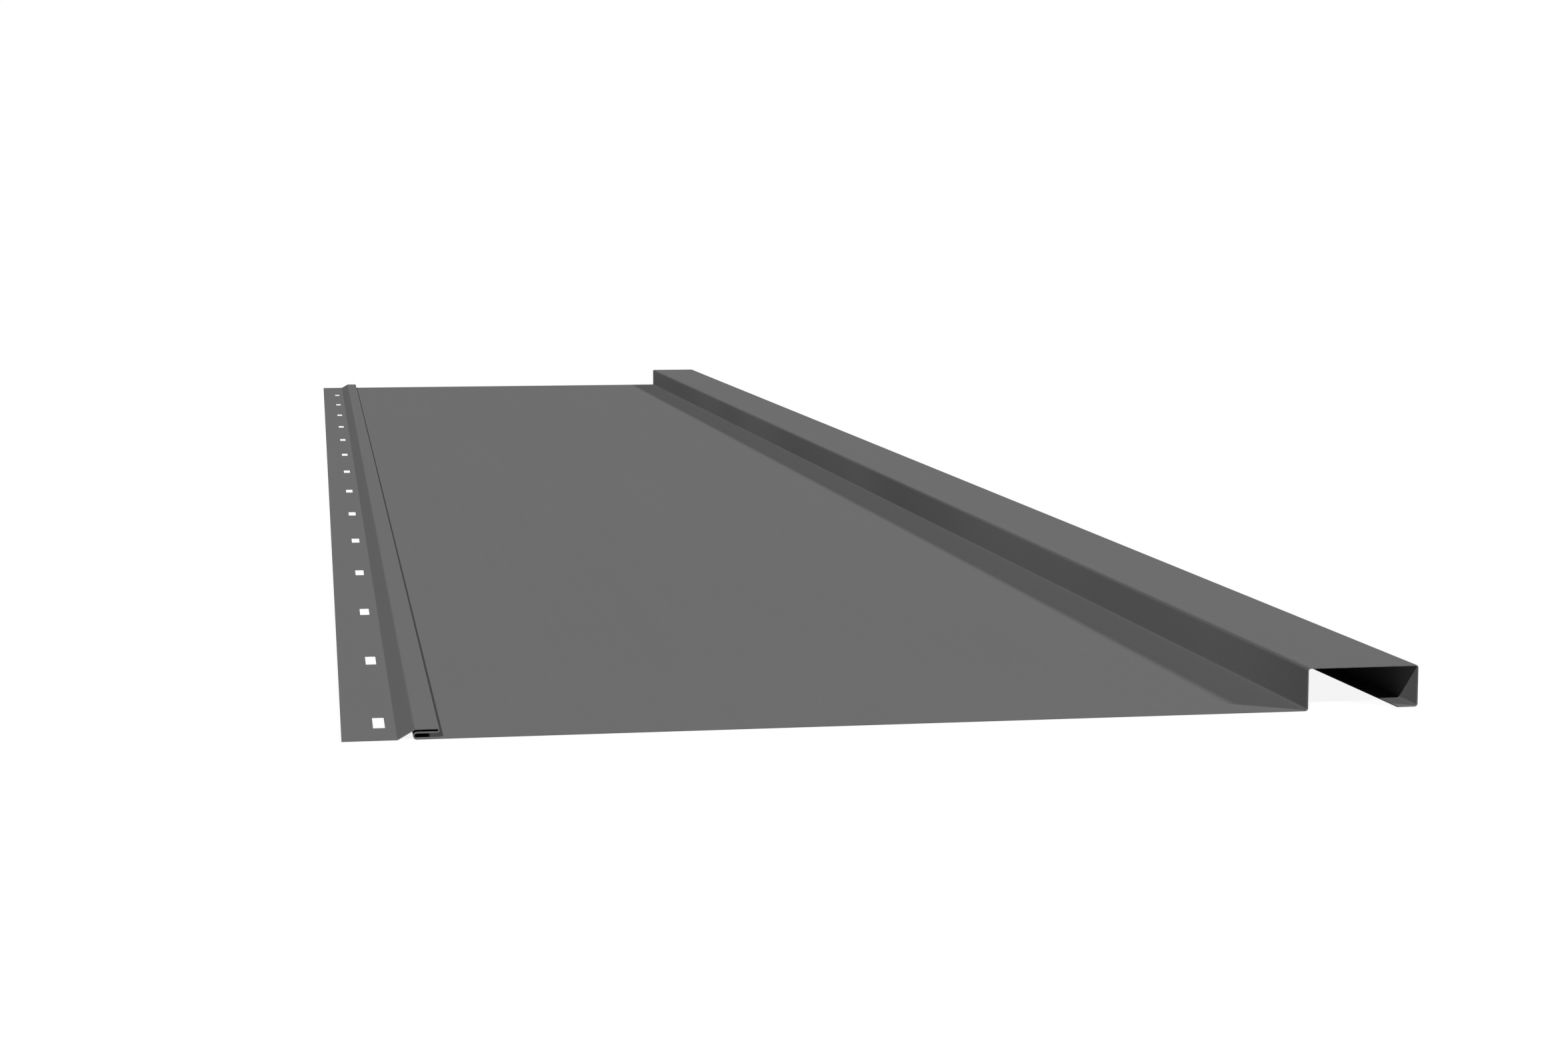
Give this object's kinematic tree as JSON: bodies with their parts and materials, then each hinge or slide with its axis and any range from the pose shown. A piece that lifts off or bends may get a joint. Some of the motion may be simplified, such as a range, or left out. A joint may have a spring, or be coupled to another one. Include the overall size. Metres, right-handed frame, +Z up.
{
  "type": "cladding panel",
  "caption": "Long folded steel cladding panel: slotted nail flange and hem along an edge, flat pan, and a hollow box rib with a return lip along the opposite edge.",
  "frame": {"origin": "centre of the panel's outline at the height of the pan's back, which lies on the floor", "axes": "+X across the panel from the nail flange to the rib, +Y along the length, +Z up out of the pan's face"},
  "size_m": [0.4456, 2.255, 0.0183],
  "materials": {
    "coated_sheet": "matt mid-grey coil coating on both faces"
  },
  "bodies": {
    "root": {"panel": "coated_sheet"}
  },
  "joints": []
}
